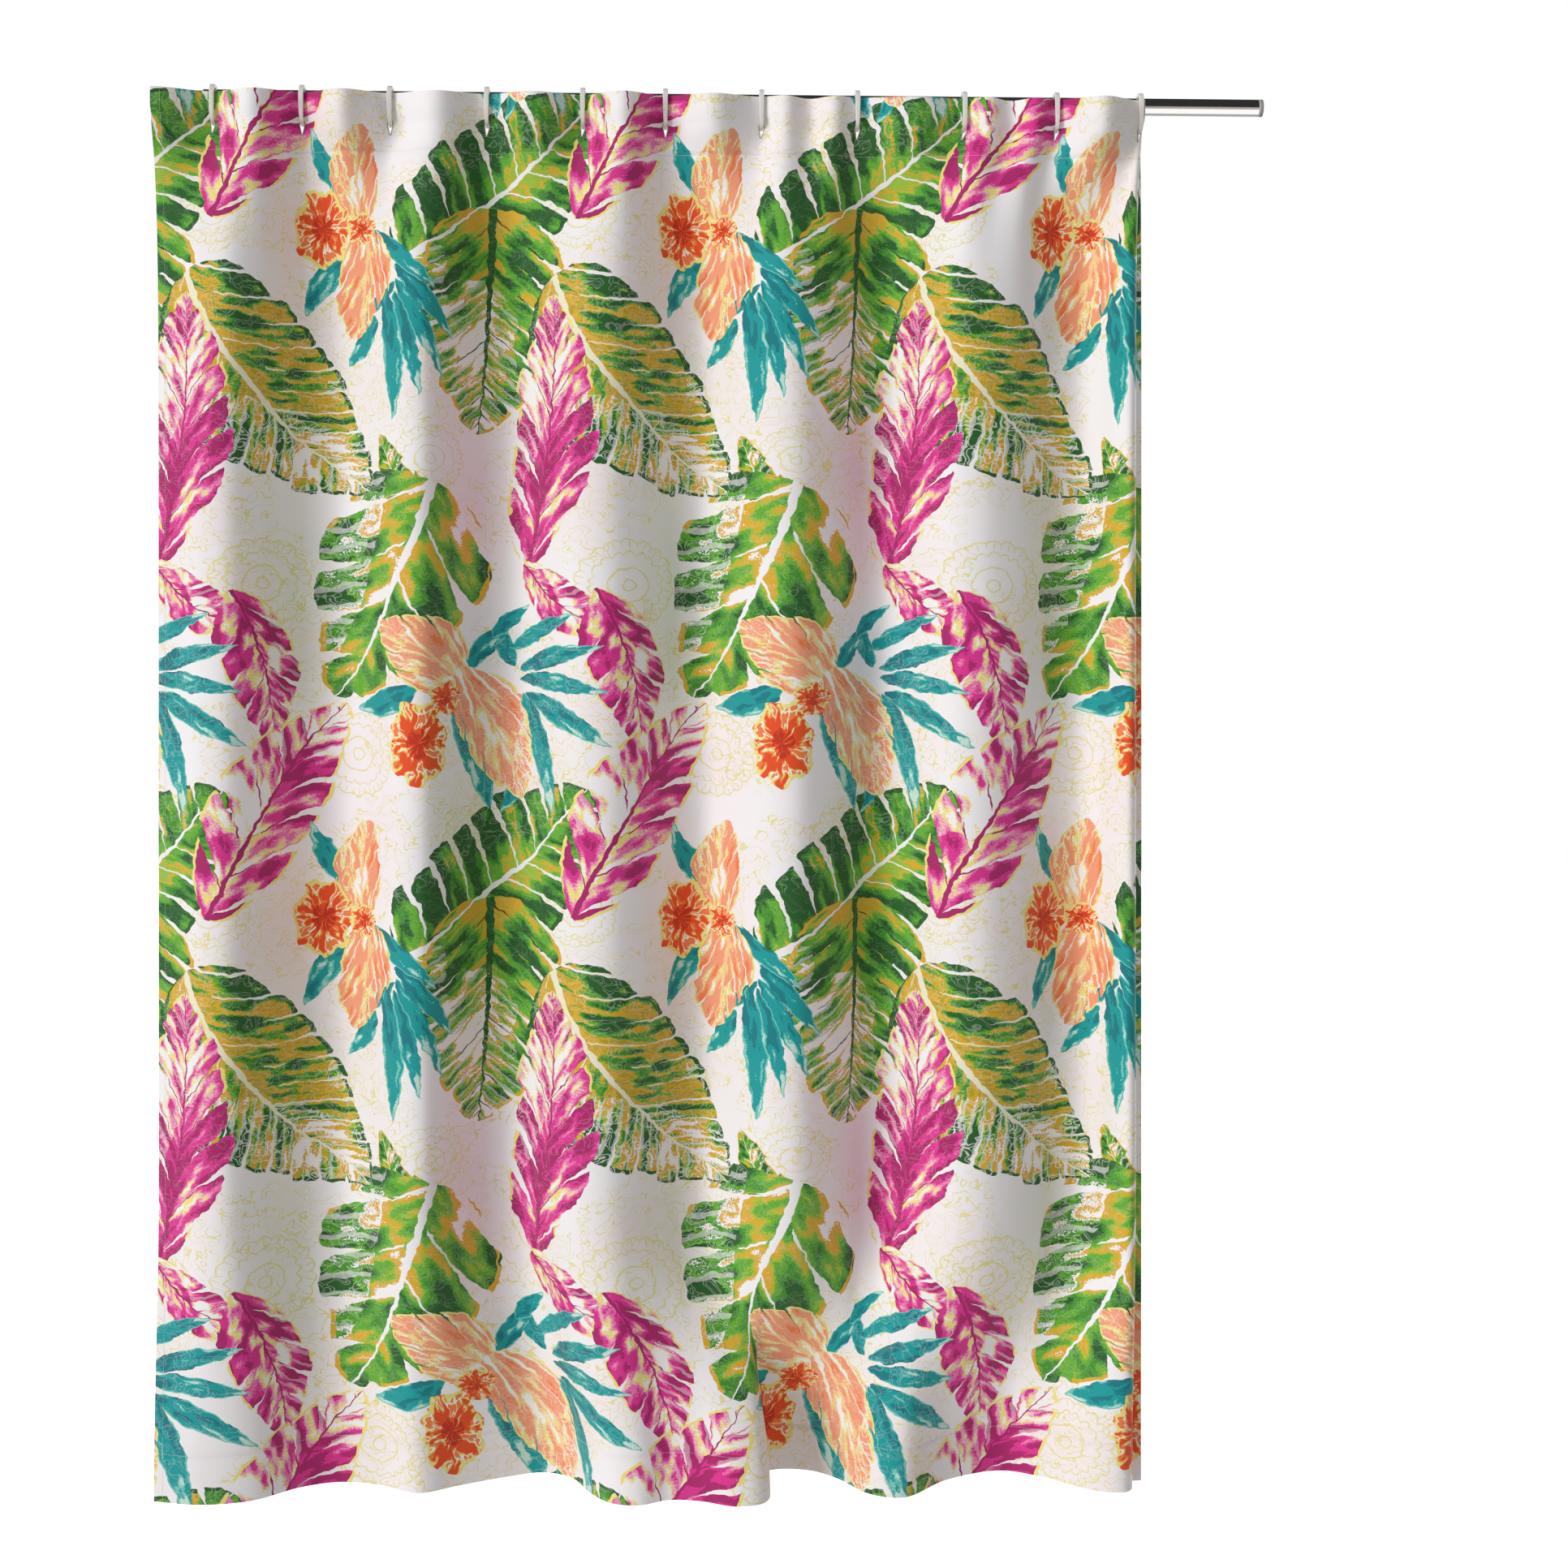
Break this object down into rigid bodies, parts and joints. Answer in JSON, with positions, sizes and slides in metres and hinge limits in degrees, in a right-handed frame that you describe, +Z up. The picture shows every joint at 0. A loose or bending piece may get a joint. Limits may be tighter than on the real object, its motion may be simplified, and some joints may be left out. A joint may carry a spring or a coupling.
{
  "type": "shower curtain",
  "caption": "Tropical-print fabric shower curtain gathered on plastic snap rings along a telescoping tension rod between two wall pads.",
  "frame": {"origin": "centre of the left wall pad's outer face, on the rod's axis", "axes": "+X along the rod to the right-hand wall, +Z up, -Y towards the side the curtain is seen from"},
  "size_m": [1.435, 0.1346, 1.8147],
  "materials": {
    "polished_tube": "polished chrome-plated steel tube",
    "bush_plastic": "moulded nylon",
    "pad_rubber": "soft pale grey rubber",
    "spring_steel": "oiled spring wire",
    "ring_plastic": "off-white moulded plastic",
    "printed_cloth": "printed woven polyester, white ground with a tropical print"
  },
  "bodies": {
    "inner_rod": {"rod_inner_tube": "polished_tube", "left_end_plug": "bush_plastic", "left_wall_pad": "pad_rubber", "spring_seat": "bush_plastic"},
    "outer_rod": {"rod_outer_tube": "polished_tube", "glide_bush": "bush_plastic", "spring_stop": "bush_plastic", "right_end_plug": "bush_plastic", "right_wall_pad": "pad_rubber", "tension_spring": "spring_steel"},
    "curtain": {"ring_01": "ring_plastic", "cloth_01": "printed_cloth"},
    "hang_02": {"ring_02": "ring_plastic", "cloth_02": "printed_cloth"},
    "hang_03": {"ring_03": "ring_plastic", "cloth_03": "printed_cloth"},
    "hang_04": {"ring_04": "ring_plastic", "cloth_04": "printed_cloth"},
    "hang_05": {"ring_05": "ring_plastic", "cloth_05": "printed_cloth"},
    "hang_06": {"ring_06": "ring_plastic", "cloth_06": "printed_cloth"},
    "hang_07": {"ring_07": "ring_plastic", "cloth_07": "printed_cloth"},
    "hang_08": {"ring_08": "ring_plastic", "cloth_08": "printed_cloth"},
    "hang_09": {"ring_09": "ring_plastic", "cloth_09": "printed_cloth"},
    "hang_10": {"ring_10": "ring_plastic", "cloth_10": "printed_cloth"},
    "hang_11": {"ring_11": "ring_plastic", "cloth_11": "printed_cloth"}
  },
  "joints": [
    {"name": "rod_extend", "type": "slide", "parent": "inner_rod", "child": "outer_rod", "axis": [1, 0, 0], "range_m": [-0.035, 0.06], "deforming": ["tension_spring"]},
    {"name": "curtain_swing", "type": "hinge", "parent": "outer_rod", "child": "curtain", "pos_m": [0.0738, 0, 0], "axis": [1, 0, 0], "range_deg": [-25, 25]},
    {"name": "ring_02_slide", "type": "slide", "parent": "curtain", "child": "hang_02", "axis": [1, 0, 0], "range_m": [-0.0974, 0]},
    {"name": "ring_03_slide", "type": "slide", "parent": "curtain", "child": "hang_03", "axis": [1, 0, 0], "range_m": [-0.1933, 0]},
    {"name": "ring_04_slide", "type": "slide", "parent": "curtain", "child": "hang_04", "axis": [1, 0, 0], "range_m": [-0.2991, 0]},
    {"name": "ring_05_slide", "type": "slide", "parent": "curtain", "child": "hang_05", "axis": [1, 0, 0], "range_m": [-0.404, 0]},
    {"name": "ring_06_slide", "type": "slide", "parent": "curtain", "child": "hang_06", "axis": [1, 0, 0], "range_m": [-0.4946, 0]},
    {"name": "ring_07_slide", "type": "slide", "parent": "curtain", "child": "hang_07", "axis": [1, 0, 0], "range_m": [-0.6004, 0]},
    {"name": "ring_08_slide", "type": "slide", "parent": "curtain", "child": "hang_08", "axis": [1, 0, 0], "range_m": [-0.7062, 0]},
    {"name": "ring_09_slide", "type": "slide", "parent": "curtain", "child": "hang_09", "axis": [1, 0, 0], "range_m": [-0.8245, 0]},
    {"name": "ring_10_slide", "type": "slide", "parent": "curtain", "child": "hang_10", "axis": [1, 0, 0], "range_m": [-0.9268, 0]},
    {"name": "curtain_draw", "type": "slide", "parent": "curtain", "child": "hang_11", "axis": [1, 0, 0], "range_m": [-1.0195, 0], "deforming": ["cloth_01", "cloth_02", "cloth_03", "cloth_04", "cloth_05", "cloth_06", "cloth_07", "cloth_08", "cloth_09", "cloth_10", "cloth_11"]}
  ],
  "couplings": [
    {"joint": "ring_02_slide", "follows": "curtain_draw", "ratio": 0.09505},
    {"joint": "ring_03_slide", "follows": "curtain_draw", "ratio": 0.18909},
    {"joint": "ring_04_slide", "follows": "curtain_draw", "ratio": 0.2929},
    {"joint": "ring_05_slide", "follows": "curtain_draw", "ratio": 0.39578},
    {"joint": "ring_06_slide", "follows": "curtain_draw", "ratio": 0.48466},
    {"joint": "ring_07_slide", "follows": "curtain_draw", "ratio": 0.58838},
    {"joint": "ring_08_slide", "follows": "curtain_draw", "ratio": 0.69218},
    {"joint": "ring_09_slide", "follows": "curtain_draw", "ratio": 0.80824},
    {"joint": "ring_10_slide", "follows": "curtain_draw", "ratio": 0.90854}
  ]
}
